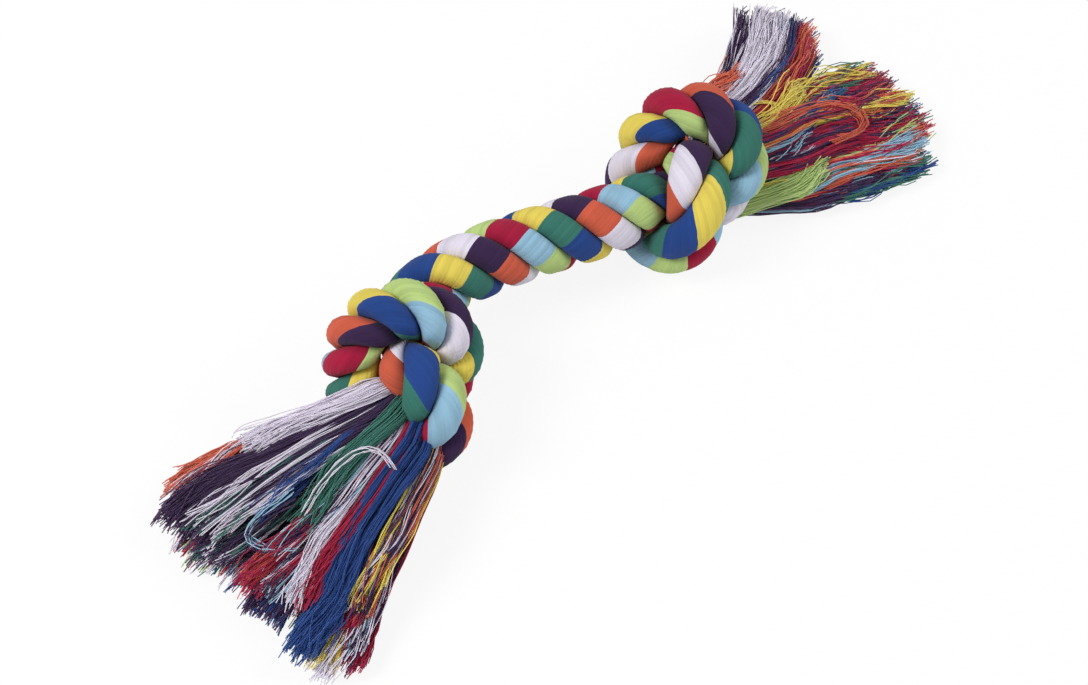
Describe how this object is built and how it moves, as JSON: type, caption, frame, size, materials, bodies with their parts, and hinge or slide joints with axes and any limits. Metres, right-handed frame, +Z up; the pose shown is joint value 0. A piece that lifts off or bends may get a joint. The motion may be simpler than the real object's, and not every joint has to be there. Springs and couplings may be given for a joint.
{
  "type": "rope dog toy",
  "caption": "Dog's tug toy of thick laid cotton rope in many colours, with an overhand knot near each end and both cut ends combed out into yarn tassels.",
  "frame": {"origin": "on the floor, under the middle of the toy's box", "axes": "+X along the rope from the left knot to the right one, +Z up; the fronts of both knots face -Y and up"},
  "size_m": [0.2762, 0.094, 0.0509],
  "materials": {
    "strand_a": "matt cotton yarn in yellow, green and blue bundles",
    "strand_b": "matt cotton yarn in red, light blue and lime bundles",
    "strand_c": "matt cotton yarn in purple, orange and white bundles",
    "yarn_yellow": "matt cotton yarn",
    "yarn_green": "matt cotton yarn",
    "yarn_blue": "matt cotton yarn",
    "yarn_red": "matt cotton yarn",
    "yarn_light_blue": "matt cotton yarn",
    "yarn_lime": "matt cotton yarn",
    "yarn_purple": "matt cotton yarn",
    "yarn_orange": "matt cotton yarn",
    "yarn_white": "matt cotton yarn"
  },
  "bodies": {
    "left_half": {"left_knot_strand_a": "strand_a", "left_knot_strand_b": "strand_b", "left_knot_strand_c": "strand_c", "left_neck_strand_a": "strand_a", "left_neck_strand_b": "strand_b", "left_neck_strand_c": "strand_c", "middle_strand_a": "strand_a", "middle_strand_b": "strand_b", "middle_strand_c": "strand_c"},
    "right_half": {"right_knot_strand_a": "strand_a", "right_knot_strand_b": "strand_b", "right_knot_strand_c": "strand_c", "right_neck_strand_a": "strand_a", "right_neck_strand_b": "strand_b", "right_neck_strand_c": "strand_c"},
    "left_tassel": {"left_tassel_blue": "yarn_blue", "left_tassel_green": "yarn_green", "left_tassel_purple": "yarn_purple", "left_tassel_white": "yarn_white", "left_tassel_yellow": "yarn_yellow", "left_tassel_lime": "yarn_lime", "left_tassel_red": "yarn_red", "left_tassel_light_blue": "yarn_light_blue", "left_tassel_orange": "yarn_orange"},
    "right_tassel": {"right_tassel_white": "yarn_white", "right_tassel_red": "yarn_red", "right_tassel_yellow": "yarn_yellow", "right_tassel_blue": "yarn_blue", "right_tassel_purple": "yarn_purple", "right_tassel_orange": "yarn_orange", "right_tassel_green": "yarn_green", "right_tassel_light_blue": "yarn_light_blue", "right_tassel_lime": "yarn_lime"}
  },
  "joints": [
    {"name": "rope_bend", "type": "hinge", "parent": "left_half", "child": "right_half", "pos_m": [0.00512, 0.0175, 0.02606], "axis": [0, 0, 1], "range_deg": [-60, 60], "deforming": ["middle_strand_a", "middle_strand_b", "middle_strand_c"]},
    {"name": "left_tassel_swing", "type": "hinge", "parent": "left_half", "child": "left_tassel", "pos_m": [-0.07675, -0.00386, 0.02024], "axis": [0, 0, 1], "range_deg": [-45, 45], "deforming": ["left_neck_strand_a", "left_neck_strand_b", "left_neck_strand_c"]},
    {"name": "right_tassel_swing", "type": "hinge", "parent": "right_half", "child": "right_tassel", "pos_m": [0.08602, 0.01134, 0.02143], "axis": [0, 0, 1], "range_deg": [-25, 45], "deforming": ["right_neck_strand_a", "right_neck_strand_b", "right_neck_strand_c"]}
  ]
}
